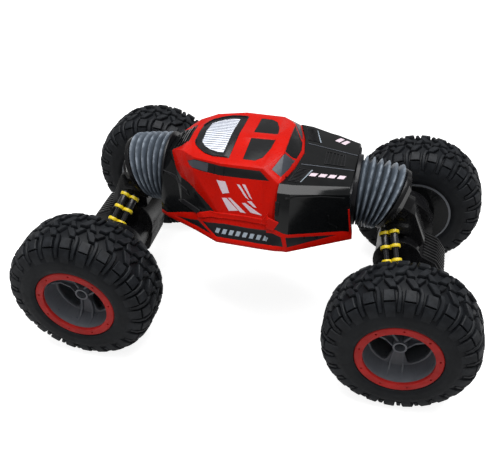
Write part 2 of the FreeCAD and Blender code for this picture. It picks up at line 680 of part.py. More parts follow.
def save_body():
    for name, solids in body_panels().items():
        save(name, solids)
    save("tub", tub())
    save("battery_door", battery_door())
    save("battery_pack", battery_pack())
    save("receiver_board", receiver_board())
    save("power_switch", switch_knob())
    save("belly_screws", [screw(x, y, BELLY_Z + 0.25) for x, y in BELLY_SCREWS])
    save("bulkhead_front", bulkhead(FRONT_WALL, 77.0, FRONT_END_X))
    save("bulkhead_rear", mirror_x(bulkhead(REAR_WALL, 81.05, REAR_END_X)))
    save("bellows_front", bellows(FRONT_END_X))
    save("bellows_rear", mirror_x(bellows(REAR_END_X)))
    save("fold_drive_front", fold_drive())
    save("fold_drive_rear", mirror_x(fold_drive()))


def save_axles():
    for end, turn in (("front", lambda s: s), ("rear", mirror_x)):
        save("knuckle_" + end, turn(knuckle()))
        save("fold_pin_" + end, turn(fold_pin()))
        save("gearbox_" + end, turn(gearbox_case()))
        left_shocks, left_rings = shocks(end), shock_rings(end)
        save("shocks_" + end, [turn(s) for s in left_shocks + [mirror_y(s) for s in left_shocks]])
        save("shock_rings_" + end, [turn(s) for s in left_rings + [mirror_y(s) for s in left_rings]])
        for side, flip in (("left", lambda s: s), ("right", mirror_y)):
            spot = end + "_" + side
            save("arm_" + spot, turn(flip(side_arm())))
            save("motor_" + spot, turn(flip(motor())))
            save("pinion_" + spot, turn(flip(pinion())))


def save_wheels():
    pieces = {"tyre": tyre(), "rim": rim(), "clamp_ring": clamp_ring(), "wheel_shaft": wheel_shaft()}
    for end, turn in (("front", lambda s: s), ("rear", mirror_x)):
        for side, flip in (("left", lambda s: s), ("right", mirror_y)):
            for name, shape in pieces.items():
                save(name + "_" + end + "_" + side, turn(flip(shape)))


save_body()
save_axles()
save_wheels()
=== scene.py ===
import json
import math

import bmesh
import bpy
from mathutils import Matrix, Vector
from mathutils.bvhtree import BVHTree


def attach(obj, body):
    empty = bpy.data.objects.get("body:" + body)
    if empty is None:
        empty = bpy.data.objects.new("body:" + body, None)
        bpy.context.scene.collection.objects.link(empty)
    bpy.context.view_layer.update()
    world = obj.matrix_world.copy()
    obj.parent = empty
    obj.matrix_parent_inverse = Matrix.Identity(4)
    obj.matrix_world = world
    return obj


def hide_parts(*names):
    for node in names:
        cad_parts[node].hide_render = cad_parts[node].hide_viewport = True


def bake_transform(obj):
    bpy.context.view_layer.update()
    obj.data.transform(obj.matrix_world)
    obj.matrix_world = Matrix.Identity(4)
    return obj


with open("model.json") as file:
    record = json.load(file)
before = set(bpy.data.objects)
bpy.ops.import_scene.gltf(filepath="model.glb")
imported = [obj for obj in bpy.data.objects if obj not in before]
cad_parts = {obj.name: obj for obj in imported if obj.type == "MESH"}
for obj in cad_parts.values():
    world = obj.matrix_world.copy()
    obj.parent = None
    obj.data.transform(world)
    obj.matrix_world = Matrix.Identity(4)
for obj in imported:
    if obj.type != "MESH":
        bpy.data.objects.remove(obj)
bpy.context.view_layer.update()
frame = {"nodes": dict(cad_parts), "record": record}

MM = 0.001

# Wheels, in millimetres
AXLE_X = 136.5
AXLE_Z = 65.0
WHEEL_Y = 99.7
TYRE_R = 65.0
TYRE_HALF_WIDTH = 29.85
SECTION_HEIGHT = 30.9
SECTION_POWER = 3.4
TREAD_DEPTH = 3.4
TREAD_REPEATS = 24
# Past FADE_START from the crown, the blocks lose LUG_FADE of height over each LUG_FADE_SPAN
FADE_START = 26.5
LUG_FADE = 1.4
LUG_FADE_SPAN = 12
# How far a block is sunk into the carcass
LUG_ROOT = 0.4

# Fold joints and bellows
PIVOT_X = 103.0
PIVOT_Z = 133.5
ARCH_ANGLE = math.radians(25.0)
BELLOWS_R = 30.5
BELLOWS_NECK_R = 25.0
BELLOWS_RIBS = 6
BELLOWS_WALL = 1.4
BODY_END_X = {"front": 83.2, "rear": 85.8}
COLLAR_OFFSET = 7.1

# Camera, in metres and degrees
CAMERA_SPOT = (0.1097, -0.5021, 0.4677)
CAMERA_AZIMUTH = 12.53
CAMERA_ELEVATION = 41.55
CAMERA_ROLL = 0.48
CAMERA_LENS = 49.9
CAMERA_SHIFT = (-0.0304, 0.1073)

# Strength of the floor and the sky, as they light the car and as the camera sees them
FLOOR_STRENGTH = (0.06, 0.86)
SKY_STRENGTH = (0.26, 1.0)

# Trim is cast onto the body from CAST_FROM metres away and lifted off it by LIFT millimetres.
# A ray that goes SEAM_DEPTH deeper than those RAY_SPREAD beside it has slipped through a seam.
CAST_FROM = 0.4
CAST_MISS = 0.3
RAY_SPREAD = 0.4
SEAM_DEPTH = 4
LIFT = 0.03
DRAPE_ROUNDS = 7

CORNERS = {"front_left": (1, 1), "front_right": (1, -1), "rear_left": (-1, 1), "rear_right": (-1, -1)}
ENDS = {"front": 1, "rear": -1}


# ---------------------------------------------------------------- materials

def start_material(name):
    """A new node material with its shader and the object's own coordinates."""
    material = bpy.data.materials.new(name)
    material.use_nodes = True
    tree = material.node_tree
    shader = next(n for n in tree.nodes if n.type == "BSDF_PRINCIPLED")
    coordinates = tree.nodes.new("ShaderNodeTexCoord")
    return material, tree, shader, coordinates.outputs["Object"]


def noise(tree, vector, scale, detail=3.0, roughness=0.5):
    node = tree.nodes.new("ShaderNodeTexNoise")
    node.inputs["Scale"].default_value = scale
    node.inputs["Detail"].default_value = detail
    node.inputs["Roughness"].default_value = roughness
    tree.links.new(vector, node.inputs["Vector"])
    return node.outputs["Fac"]


def map_range(tree, value, low, high, from_low=0.3, from_high=0.7):
    node = tree.nodes.new("ShaderNodeMapRange")
    node.inputs["From Min"].default_value = from_low
    node.inputs["From Max"].default_value = from_high
    node.inputs["To Min"].default_value = low
    node.inputs["To Max"].default_value = high
    tree.links.new(value, node.inputs["Value"])
    return node.outputs["Result"]


def mixed_colour(tree, factor, first, second):
    node = tree.nodes.new("ShaderNodeMix")
    node.data_type = "RGBA"
    for socket, value in ((node.inputs[6], first), (node.inputs[7], second)):
        if isinstance(value, tuple):
            socket.default_value = (*value, 1)
        else:
            tree.links.new(value, socket)
    tree.links.new(factor, node.inputs[0])
    return node.outputs[2]


def edge_wear_and_highlight(tree, place, base, edge_colour, amount, low=0.54, high=0.66):
    """Show a second colour along sharp outer edges, broken up so it looks uneven: real edge wear on plastic,
    metal and board, a painted highlight on the crests of rubber.
    """
    geometry = tree.nodes.new("ShaderNodeNewGeometry")
    edge = map_range(tree, geometry.outputs["Pointiness"], 0.0, 1.0, low, high)
    patches = map_range(tree, noise(tree, place, 160.0, 4.0), 0.15, amount, 0.4, 0.65)
    both = tree.nodes.new("ShaderNodeMath")
    both.operation = "MULTIPLY"
    tree.links.new(edge, both.inputs[0])
    tree.links.new(patches, both.inputs[1])
    return mixed_colour(tree, both.outputs[0], base, edge_colour)


def add_bump(tree, shader, height, strength, distance):
    node = tree.nodes.new("ShaderNodeBump")
    node.inputs["Strength"].default_value = strength
    node.inputs["Distance"].default_value = distance
    tree.links.new(height, node.inputs["Height"])
    tree.links.new(node.outputs["Normal"], shader.inputs["Normal"])


def moulded(name, colour, second, rough, grain=2200.0, bump=0.15, coat=0.0, specular=0.5, wear=0.35):
    """Moulded plastic: slow colour drift, fine grain, uneven gloss and paler edges."""
    material, tree, shader, place = start_material(name)
    drift = map_range(tree, noise(tree, place, 60.0), 0.0, 1.0)
    base = mixed_colour(tree, drift, colour, second)
    pale = tuple(c * 0.8 + 0.06 for c in colour)
    tree.links.new(edge_wear_and_highlight(tree, place, base, pale, wear), shader.inputs["Base Color"])
    gloss = map_range(tree, noise(tree, place, 240.0, 4.0), rough * 0.8, rough * 1.25)
    tree.links.new(gloss, shader.inputs["Roughness"])
    add_bump(tree, shader, noise(tree, place, grain, 2.0), bump, 0.00015)
    shader.inputs["Coat Weight"].default_value = coat
    shader.inputs["Coat Roughness"].default_value = 0.06
    shader.inputs["Specular IOR Level"].default_value = specular
    return material


def rubber(name, colour, second, rough, crest_highlight, depth=0.0, low=0.54, high=0.66, specular=0.3):
    """Rubber with a fine pebbled surface, a painted highlight on its crests and, as far as depth says,
    painted shade in its folds.
    """
    material, tree, shader, place = start_material(name)
    drift = map_range(tree, noise(tree, place, 90.0, 5.0), 0.0, 1.0, 0.35, 0.65)
    base = mixed_colour(tree, drift, colour, second)
    geometry = tree.nodes.new("ShaderNodeNewGeometry")
    # Painted shade: concave spots (low pointiness) are darkened towards 0.15 of the colour, as far as depth
    # says; this stands in for shadow in the folds.
    fold_shade = map_range(tree, geometry.outputs["Pointiness"], depth, 0.0, 0.42, 0.5)
    fold_shaded_base = mixed_colour(tree, fold_shade, base, tuple(c * 0.15 for c in colour))
    # Painted highlight: the crest colour laid along sharp convex edges stands in for light catching the
    # crests.
    tree.links.new(edge_wear_and_highlight(tree, place, fold_shaded_base, crest_highlight, 0.9, low, high), shader.inputs["Base Color"])
    shader.inputs["Specular IOR Level"].default_value = specular
    gloss = map_range(tree, noise(tree, place, 400.0, 4.0), rough * 0.85, min(rough * 1.15, 1.0))
    tree.links.new(gloss, shader.inputs["Roughness"])
    add_bump(tree, shader, noise(tree, place, 1500.0, 4.0, 0.65), 0.25, 0.0002)
    return material


def brushed(name, colour, rough):
    """Turned or brushed metal with fine scratches."""
    material, tree, shader, place = start_material(name)
    stretch = tree.nodes.new("ShaderNodeMapping")
    stretch.inputs["Scale"].default_value = (1.0, 12.0, 1.0)
    tree.links.new(place, stretch.inputs["Vector"])
    scratches = noise(tree, stretch.outputs["Vector"], 900.0, 6.0)
    darker = tuple(c * 0.7 for c in colour)
    brighter = tuple(min(c * 1.3, 1.0) for c in colour)
    base = mixed_colour(tree, scratches, darker, colour)
    tree.links.new(edge_wear_and_highlight(tree, place, base, brighter, 0.8), shader.inputs["Base Color"])
    tree.links.new(map_range(tree, scratches, rough * 0.7, rough * 1.3), shader.inputs["Roughness"])
    add_bump(tree, shader, scratches, 0.1, 0.0001)
    shader.inputs["Metallic"].default_value = 1.0
    return material


def board_material():
    """Green circuit board with darker tracks."""
    material, tree, shader, place = start_material("circuit_board")
    cells = tree.nodes.new("ShaderNodeTexVoronoi")
    cells.feature = "DISTANCE_TO_EDGE"
    cells.inputs["Scale"].default_value = 260.0
    tree.links.new(place, cells.inputs["Vector"])
    tracks = map_range(tree, cells.outputs["Distance"], 0.0, 1.0, 0.02, 0.06)
    colour = mixed_colour(tree, tracks, (0.01, 0.10, 0.03), (0.02, 0.26, 0.09))
    tree.links.new(edge_wear_and_highlight(tree, place, colour, (0.20, 0.30, 0.12), 0.6), shader.inputs["Base Color"])
    tree.links.new(map_range(tree, noise(tree, place, 300.0), 0.28, 0.45), shader.inputs["Roughness"])
    add_bump(tree, shader, tracks, 0.3, 0.0001)
    return material


def make_materials():
    """Every finish, by the slot name that the pieces ask for."""
    return {
        "red_gloss": moulded("red_plastic", (0.53, 0.006, 0.0015), (0.46, 0.005, 0.0015), 0.30, coat=0.02,
                             specular=0.12),
        "black_gloss": moulded("black_gloss", (0.004, 0.0045, 0.005), (0.007, 0.0075, 0.008), 0.15,
                               coat=0.06, bump=0.05, specular=0.28),
        "black_satin": moulded("black_satin", (0.006, 0.006, 0.007), (0.010, 0.010, 0.012), 0.32,
                               specular=0.3),
        "window_black": moulded("window_black", (0.010, 0.0105, 0.011), (0.013, 0.013, 0.014), 0.38,
                                bump=0.03, specular=0.15),
        "window_grey": moulded("window_grey", (0.065, 0.070, 0.084), (0.045, 0.050, 0.060), 0.35,
                               specular=0.3),
        "white_panel": moulded("white_panel", (0.78, 0.81, 0.88), (0.70, 0.73, 0.80), 0.35),
        "panel_line": moulded("panel_line", (0.18, 0.20, 0.27), (0.13, 0.15, 0.20), 0.4),
        "decal_white": moulded("decal_white", (0.72, 0.60, 0.66), (0.62, 0.50, 0.57), 0.4),
        "decal_grey": moulded("decal_grey", (0.30, 0.35, 0.40), (0.24, 0.29, 0.34), 0.4),
        "crease_grey": moulded("crease_grey", (0.075, 0.083, 0.100), (0.055, 0.060, 0.072), 0.35),
        "sleeve_blue": moulded("sleeve_blue", (0.02, 0.09, 0.32), (0.03, 0.12, 0.40), 0.3, coat=0.4),
        "board_green": board_material(),
        "switch_red": moulded("switch_red", (0.42, 0.02, 0.01), (0.34, 0.015, 0.01), 0.4),
        "screw_steel": brushed("screw_steel", (0.42, 0.42, 0.44), 0.35),
        "shaft_steel": brushed("shaft_steel", (0.50, 0.50, 0.53), 0.28),
        "motor_can": brushed("motor_can", (0.55, 0.56, 0.58), 0.32),
        "brass": brushed("brass_gear", (0.72, 0.48, 0.16), 0.3),
        # Painted highlight: the crest colour (0.026, 0.029, 0.034) on the block edges stands in for light
        # catching the tread; depth 0 leaves the folds without painted shade.
        "tyre_rubber": rubber("tyre_rubber", (0.0060, 0.0068, 0.0085), (0.0095, 0.0108, 0.0130), 0.5,
                              (0.026, 0.029, 0.034), specular=0.15),
        "rim_grey": moulded("rim_grey", (0.100, 0.108, 0.124), (0.125, 0.134, 0.152), 0.34, grain=1400.0,
                            wear=0.9),
        "axle_black": moulded("axle_black", (0.0045, 0.0045, 0.005), (0.007, 0.007, 0.008), 0.24, bump=0.08,
                              specular=0.35),
        "ring_red": moulded("ring_red", (0.46, 0.018, 0.016), (0.33, 0.013, 0.011), 0.5, grain=2600.0,
                            bump=0.5, specular=0.2),
        # Painted highlight and painted shade: the pale crest colour stands in for light on the rib tops, and
        # depth 1.0 darkens the valleys as painted shadow.
        "bellows_grey": rubber("bellows_grey", (0.075, 0.092, 0.115), (0.060, 0.074, 0.094), 0.36,
                               (0.26, 0.30, 0.35), 1.0, 0.51, 0.56),
        "ring_yellow": moulded("ring_yellow", (0.86, 0.66, 0.015), (0.74, 0.54, 0.01), 0.35),
        "shock_black": moulded("shock_black", (0.008, 0.008, 0.010), (0.014, 0.014, 0.016), 0.25),
    }


# ---------------------------------------------------------------- mesh helpers

def scaled(points):
    return [Vector(p) * MM for p in points]


def new_object(name, verts, faces):
    mesh = bpy.data.meshes.new(name)
    mesh.from_pydata([tuple(v) for v in verts], [], faces)
    mesh.validate()
    piece = bpy.data.objects.new(name, mesh)
    bpy.context.scene.collection.objects.link(piece)
    return piece


def from_bmesh(name, shape):
    bmesh.ops.recalc_face_normals(shape, faces=shape.faces)
    mesh = bpy.data.meshes.new(name)
    shape.to_mesh(mesh)
    shape.free()
    piece = bpy.data.objects.new(name, mesh)
    bpy.context.scene.collection.objects.link(piece)
    return piece


def apply_modifiers(piece):
    graph = bpy.context.evaluated_depsgraph_get()
    mesh = bpy.data.meshes.new_from_object(piece.evaluated_get(graph))
    piece.modifiers.clear()
    piece.data = mesh
    return piece


def bevel(piece, width, segments=2, angle=25.0):
    modifier = piece.modifiers.new("bevel", "BEVEL")
    modifier.width = width * MM
    modifier.segments = segments
    modifier.limit_method = "ANGLE"
    modifier.angle_limit = math.radians(angle)
    modifier.harden_normals = False
    modifier.use_clamp_overlap = True
    return apply_modifiers(piece)


def smooth(piece, angle=35.0):
    for face in piece.data.polygons:
        face.use_smooth = True
    edges = bmesh.new()
    edges.from_mesh(piece.data)
    for edge in edges.edges:
        edge.smooth = edge.calc_face_angle(0.0) < math.radians(angle)
    edges.to_mesh(piece.data)
    edges.free()
    return piece


def dress(piece, slot):
    piece.data.materials.clear()
    piece.data.materials.append(MATERIALS[slot])
    return piece


def place(piece, slot, body, record_slot=None, replaces=()):
    dress(piece, slot)
    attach(piece, body)
    if replaces:
        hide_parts(*replaces)
    return piece


def cad_copy(node, width, angle=20.0, segments=2, reshape=None):
    """A cleaned copy of a CAD node's mesh with rounded edges."""
    shape = bmesh.new()
    shape.from_mesh(frame["nodes"][node].data)
    bmesh.ops.remove_doubles(shape, verts=shape.verts, dist=1e-6)
    if reshape:
        reshape(shape)
    bmesh.ops.dissolve_limit(shape, angle_limit=math.radians(1.0), verts=shape.verts, edges=shape.edges)
    piece = from_bmesh(node + "_skin", shape)
    if width > 0:
        bevel(piece, width, segments, angle)
    return smooth(piece, 30.0)


def lathe(name, profile, segments=96, closed=True):
    """Turn a profile of (radius, offset) points about the Y axis. Millimetres."""
    verts = []
    faces = []
    count = len(profile)
    for i in range(segments):
        angle = 2 * math.pi * i / segments
        for r, w in profile:
            verts.append(Vector((r * math.cos(angle), w, r * math.sin(angle))) * MM)
    last = count if closed else count - 1
    for i in range(segments):
        j = (i + 1) % segments
        for k in range(last):
            m = (k + 1) % count
            faces.append((i * count + k, i * count + m, j * count + m, j * count + k))
    return new_object(name, verts, faces)


def joined(name, pieces):
    """Merge several objects into one mesh object."""
    shape = bmesh.new()
    for piece in pieces:
        part = piece.data.copy()
        part.transform(piece.matrix_world)
        shape.from_mesh(part)
        bpy.data.meshes.remove(part)
        bpy.data.objects.remove(piece)
    return from_bmesh(name, shape)


def wheel_place(corner):
    """The transform that puts a wheel drawn about the origin, outside at +Y, at its corner."""
    sx, sy = CORNERS[corner]
    spot = Vector((sx * AXLE_X, sy * WHEEL_Y, AXLE_Z)) * MM
    turn = Matrix.Identity(4) if sy > 0 else Matrix.Rotation(math.pi, 4, "Z")
    return Matrix.Translation(spot) @ turn


# ---------------------------------------------------------------- tyres

def section_table(steps=240):
    """Points of the tyre's outline from the crown to the bead with the distance along it."""
    table = []
    travelled = 0.0
    previous = None
    for k in range(steps + 1):
        angle = math.radians(90.0 * k / steps)
        power = 2 / SECTION_POWER
        r = TYRE_R - SECTION_HEIGHT + SECTION_HEIGHT * max(math.cos(angle), 0.0) ** power
        w = TYRE_HALF_WIDTH * math.sin(angle) ** power
        if previous:
            travelled += math.hypot(r - previous[0], w - previous[1])
        table.append((travelled, r, w))
        previous = (r, w)
    return table


SECTION = section_table()


def tread_point(turn, across, height):
    """A point on the tyre: turn in radians, across in mm from the crown, height above the outline."""
    side = 1 if across >= 0 else -1
    want = abs(across)
    index = 0
    while index < len(SECTION) - 2 and SECTION[index + 1][0] < want:
        index += 1
    t0, r0, w0 = SECTION[index]
    t1, r1, w1 = SECTION[index + 1]
    share = (want - t0) / max(t1 - t0, 1e-6)
    r = r0 + (r1 - r0) * share
    w = w0 + (w1 - w0) * share
    length = math.hypot(r1 - r0, w1 - w0)
    r += height * (w1 - w0) / length
    w += height * (r0 - r1) / length
    return Vector((r * math.cos(turn), side * w, r * math.sin(turn))) * MM


def lug(verts, faces, path, low, high, edge=0.7):
    """One tread block. The path's stations are (turn in mm at the crown, across in mm, width in mm)."""
    base = len(verts)
    rows = []
    last = len(path) - 1
    for along, across, width in path:
        half = width / 2
        top = high - LUG_FADE * max((abs(across) - FADE_START) / LUG_FADE_SPAN, 0)
        rows.append([(along - half - 0.5, across, low), (along - half, across, top - edge),
                     (along - half + edge, across, top), (along + half - edge, across, top),
                     (along + half, across, top - edge), (along + half + 0.5, across, low)])
    step = edge if path[last][1] >= path[0][1] else -edge
    first = [(a, c - step, low) for a, c, h in rows[0]]
    lift = [(a, c - step * 0.6, min(h, rows[0][2][2] - edge)) for a, c, h in rows[0]]
    end = [(a, c + step, low) for a, c, h in rows[-1]]
    drop = [(a, c + step * 0.6, min(h, rows[-1][2][2] - edge)) for a, c, h in rows[-1]]
    rows = [first, lift] + rows + [drop, end]
    for row in rows:
        for along, across, height in row:
            verts.append(tread_point(along / TYRE_R, across, height))
    wide = 6
    for r in range(len(rows) - 1):
        for k in range(wide - 1):
            a = base + r * wide + k
            faces.append((a, a + 1, a + wide + 1, a + wide))
    faces.append(tuple(base + k for k in range(wide)))
    far_end = base + (len(rows) - 1) * wide
    faces.append(tuple(far_end + k for k in reversed(range(wide))))


def tyre_mesh():
    """The tread: chevron centre blocks, two-part shoulder blocks and curved ribs between them."""
    verts = []
    faces = []
    pitch = 2 * math.pi * TYRE_R / TREAD_REPEATS
    low = -TREAD_DEPTH - LUG_ROOT
    for i in range(TREAD_REPEATS):
        for side in (1, -1):
            s = i * pitch + (0 if side > 0 else pitch / 2)
            wide_block = [(s, 15.5, 8.6), (s + 0.2, 20, 9.2), (s + 0.4, 24.2, 9.6)]
            outer_block = [(s + 0.4, 26.0, 9.8), (s + 0.5, 31.0, 10.2), (s + 0.6, 35, 10.6),
                           (s + 0.6, 38.5, 11.0)]
            rib = [(s + 7.0, 11.5, 3.4), (s + 8.6, 16, 3.2), (s + 8.9, 22, 3.4), (s + 8.6, 28, 3.8),
                   (s + 8.2, 34, 4.2)]
            centre = [(s - 2.0, 3.2, 6.0), (s + 1.2, 8.0, 6.6), (s + 3.0, 12.2, 4.6)]
            wedge = [(s + 7.6, 0.6, 5.4), (s + 5.4, 4.4, 4.6), (s + 4.6, 6.6, 3.4)]
            for path, top in ((wide_block, 0.0), (outer_block, 0.0), (rib, -0.5),
                              (centre, -0.1), (wedge, -0.4)):
                lug(verts, faces, [(a, c * side, w) for a, c, w in path], low, top)
    return verts, faces


def build_tyre():
    """One tyre about the origin: the carcass, its bead and the tread."""
    profile = []
    for k in range(25):
        across = 2.0 * k
        depth = -TREAD_DEPTH + (TREAD_DEPTH - 1.2) * min(max((across - 29) / 10, 0), 1)
        point = tread_point(0.0, across, depth)
        profile.append((point.x / MM, point.y / MM))
    bead = [(37.2, 28.0), (36.0, 27.7), (35.5, 27.0), (35.5, 24.4), (31.2, 24.4), (31.2, 18.0), (35.5, 18.0)]
    half = profile + bead
    inner = [(56.0, 14.0), (56.0, 0.0)]
    whole = half + inner
    loop = whole + [(r, -w) for r, w in reversed(whole[1:-1])]
    carcass = lathe("carcass", loop, 120)
    verts, faces = tyre_mesh()
    lugs = new_object("lugs", verts, faces)
    tyre = joined("tyre_shape", [carcass, lugs])
    return smooth(tyre, 32.0)


def build_tyres():
    """The same tyre at all four corners."""
    tyre = build_tyre()
    for corner in CORNERS:
        piece = tyre.copy()
        piece.data = tyre.data.copy()
        piece.name = "tyre_lugged_" + corner
        bpy.context.scene.collection.objects.link(piece)
        piece.matrix_world = wheel_place(corner)
        place(piece, "tyre_rubber", "wheel_" + corner, replaces=("tyre_" + corner,))
    bpy.data.objects.remove(tyre)


# ---------------------------------------------------------------- bellows

def build_bellows(end):
    """Rubber boot with rounded ribs that follows the arch."""
    sign = ENDS[end]
    start = (BODY_END_X[end] + 0.2, PIVOT_Z)
    reach = COLLAR_OFFSET + 0.8
    finish = (PIVOT_X + reach * math.cos(ARCH_ANGLE), PIVOT_Z - reach * math.sin(ARCH_ANGLE))
    per_rib = 8
    steps = BELLOWS_RIBS * per_rib
    segments = 72
    verts = []
    faces = []
    middle = (BELLOWS_R + BELLOWS_NECK_R) / 2
    swing = (BELLOWS_R - BELLOWS_NECK_R) / 2
    rows = []
    for i in range(steps + 1):
        s = i / steps
        wave = math.cos(2 * math.pi * i / per_rib)
        radius = middle - swing * math.copysign(abs(wave) ** 0.8, wave)
        rows.append((s, radius))
    for s, radius in list(reversed(rows)):
        rows.append((s, radius - BELLOWS_WALL))
    for s, radius in rows:
        tilt = s * ARCH_ANGLE
        x = start[0] + s * (finish[0] - start[0])
        z = start[1] + s * (finish[1] - start[1])
        for k in range(segments):
            a = 2 * math.pi * k / segments
            up = radius * math.sin(a)
            spot = (sign * (x + up * math.sin(tilt)), radius * math.cos(a), z + up * math.cos(tilt))
            verts.append(Vector(spot) * MM)
    count = len(rows)
    for i in range(count):
        j = (i + 1) % count
        for k in range(segments):
            m = (k + 1) % segments
            faces.append((i * segments + k, i * segments + m, j * segments + m, j * segments + k))
    piece = new_object("bellows_boot_" + end, verts, faces)
    shape = bmesh.new()
    shape.from_mesh(piece.data)
    bmesh.ops.recalc_face_normals(shape, faces=shape.faces)
    shape.to_mesh(piece.data)
    shape.free()
    smooth(piece, 60.0)
    dress(piece, "bellows_grey")
    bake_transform(piece)
    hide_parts("bellows_" + end)


# ---------------------------------------------------------------- body

BODY_SKINS = {
    "cabin_shell": ("red_gloss", 0.5),
    "hood_cover": ("black_gloss", 0.5),
    "rear_fenders": ("black_gloss", 0.35),
    "sill_panels": ("black_satin", 0.2),
    "side_windows": ("window_black", 0.2),
    "quarter_windows": ("window_grey", 0.2),
    "windshield": ("window_black", 0.2),
    "sunroof_panels": ("window_black", 0.25),
    "rear_window_frame": ("black_satin", 0.25),
    "louver_panel": ("white_panel", 0.25),
    "tub": ("black_satin", 0.6),
    "battery_door": ("black_satin", 0.2),
    "bulkhead_front": ("black_satin", 0.5),
    "bulkhead_rear": ("black_satin", 0.5),
}

# Where the hood's skin starts along the car
HOOD_START = 22.4
# Where a corner of the hood is in the CAD, and where it is shown
HOOD_CORNER = {(78.5, 43.1, 156.3): (78.6, 41.2, 154.7)}
HOOD_CORNER_REACH = 3


def trimmed_hood(shape):
    """Cut off the tongue of the hood that stands proud of the cabin and even out its chamfer."""
    geometry = shape.verts[:] + shape.edges[:] + shape.faces[:]
    cut = bmesh.ops.bisect_plane(shape, geom=geometry, plane_co=(HOOD_START * MM, 0, 0),
                                 plane_no=(1, 0, 0), clear_inner=True)
    rim = [item for item in cut["geom_cut"] if isinstance(item, bmesh.types.BMEdge)]
    bmesh.ops.holes_fill(shape, edges=rim)
    bmesh.ops.triangulate(shape, faces=shape.faces[:])
    for vert in shape.verts:
        for (x, y, z), (new_x, new_y, new_z) in HOOD_CORNER.items():
            side = 1 if vert.co.y > 0 else -1
            if (vert.co - Vector((x, side * y, z)) * MM).length < HOOD_CORNER_REACH * MM:
                vert.co += Vector((new_x - x, side * (new_y - y), new_z - z)) * MM


def build_body():
    """The body's CAD nodes with rounded edges and their finishes."""
    for node, (slot, width) in BODY_SKINS.items():
        reshape = trimmed_hood if node == "hood_cover" else None
        place(cad_copy(node, width, reshape=reshape), slot, "chassis", replaces=(node,))


def surface_of(nodes):
    """A search tree over the CAD skins, for laying trim onto them."""
    verts = []
    polygons = []
    for node in nodes:
        mesh = frame["nodes"][node].data
        base = len(verts)
        verts += [v.co.copy() for v in mesh.vertices]
        polygons += [[base + i for i in p.vertices] for p in mesh.polygons]
    return BVHTree.FromPolygons(verts, polygons)


def onto_surface(tree, start, ray):
    """Where a ray meets the body. Rays beside it keep it from slipping through a seam."""
    aside = ray.orthogonal().normalized() * RAY_SPREAD * MM
    along = ray.cross(aside)
    hits = [tree.ray_cast(start + shift, ray) for shift in (Vector(), aside, -aside, along, -along)]
    distances = [hit[3] for hit in hits if hit[0] is not None]
    if not distances:
        return tree.find_nearest(start + ray * CAST_MISS)[0]
    nearest = min(distances)
    straight = hits[0][3]
    if straight is None or straight > nearest + SEAM_DEPTH * MM:
        straight = nearest
    return start + ray * straight


def drape(name, outlines, facing, tree, thick, step=1.6):
    """Thin trim laid onto the body. Outlines are in mm, in the plane that faces +Z or, for side
    trim, in (x, z). It is cast onto the surface along the facing direction."""
    shape = bmesh.new()
    for outline in outlines:
        corners = []
        for a, b in outline:
            spot = (a, b, 0) if facing == "top" else (a, 0, b)
            corners.append(shape.verts.new(Vector(spot) * MM))
        shape.faces.new(corners)
    bmesh.ops.triangulate(shape, faces=shape.faces[:])
    for _ in range(DRAPE_ROUNDS):
        long_edges = [e for e in shape.edges if e.calc_length() > step * MM]
        if not long_edges:
            break
        bmesh.ops.subdivide_edges(shape, edges=long_edges, cuts=1)
        bmesh.ops.triangulate(shape, faces=shape.faces[:])
    directions = {"top": Vector((0, 0, -1)), "left": Vector((0, -1, 0)), "right": Vector((0, 1, 0))}
    ray = directions[facing]
    for vert in shape.verts:
        vert.co = onto_surface(tree, vert.co - ray * CAST_FROM, ray) - ray * LIFT * MM
    bmesh.ops.recalc_face_normals(shape, faces=shape.faces[:])
    middle = sum((f.normal for f in shape.faces), Vector())
    if middle.dot(ray) > 0:
        bmesh.ops.reverse_faces(shape, faces=shape.faces[:])
    below = shape.faces[:]
    made = bmesh.ops.extrude_face_region(shape, geom=below)
    for item in made["geom"]:
        if isinstance(item, bmesh.types.BMVert):
            item.co -= ray * thick * MM
    return from_bmesh(name, shape)


def side_trim(name, outlines, nodes, slot, thick, step=1.6, smooth_angle=30.0):
    """The same trim on both sides of the body, from (x, z) outlines."""
    tree = surface_of(nodes)
    halves = [drape(name + "_half", outlines, side, tree, thick, step) for side in ("left", "right")]
    piece = smooth(joined(name, halves), smooth_angle)
    return place(piece, slot, "chassis", record_slot=RECORD_SLOT.get(slot, slot))


def top_trim(name, outlines, nodes, slot, thick, step=1.6, smooth_angle=30.0):
    """Trim on the upper side of the body, from (x, y) outlines."""
    tree = surface_of(nodes)
    piece = smooth(drape(name, outlines, "top", tree, thick, step), smooth_angle)
    return place(piece, slot, "chassis", record_slot=RECORD_SLOT.get(slot, slot))


# The record's slot for trim whose finish is made only here
RECORD_SLOT = {"panel_line": "black_satin", "decal_white": "white_panel", "decal_grey": "window_grey",
               "crease_grey": "window_grey"}
# The CAD nodes that trim is laid onto
CABIN_SKIN = ["cabin_shell", "rear_fenders", "side_windows", "sill_panels"]
HOOD_SKIN = ["hood_cover"]


def mirrored(outlines):
    """Outlines together with their mirror images on the other side of the car."""
    return outlines + [[(x, -y) for x, y in reversed(outline)] for outline in outlines]


def strip(points, width):
    """The outline of a band of even width along a line of points."""
    left = []
    right = []
    for i, point in enumerate(points):
        before = Vector(points[max(i - 1, 0)])
        after = Vector(points[min(i + 1, len(points) - 1)])
        across = (after - before).orthogonal().normalized() * width / 2
        left.append(tuple(Vector(point) + across))
        right.append(tuple(Vector(point) - across))
    return left + right[::-1]


def frame_strips(outline, width):
    """One band along each side of a closed outline."""
    return [strip([a, b], width) for a, b in zip(outline, outline[1:] + outline[:1])]


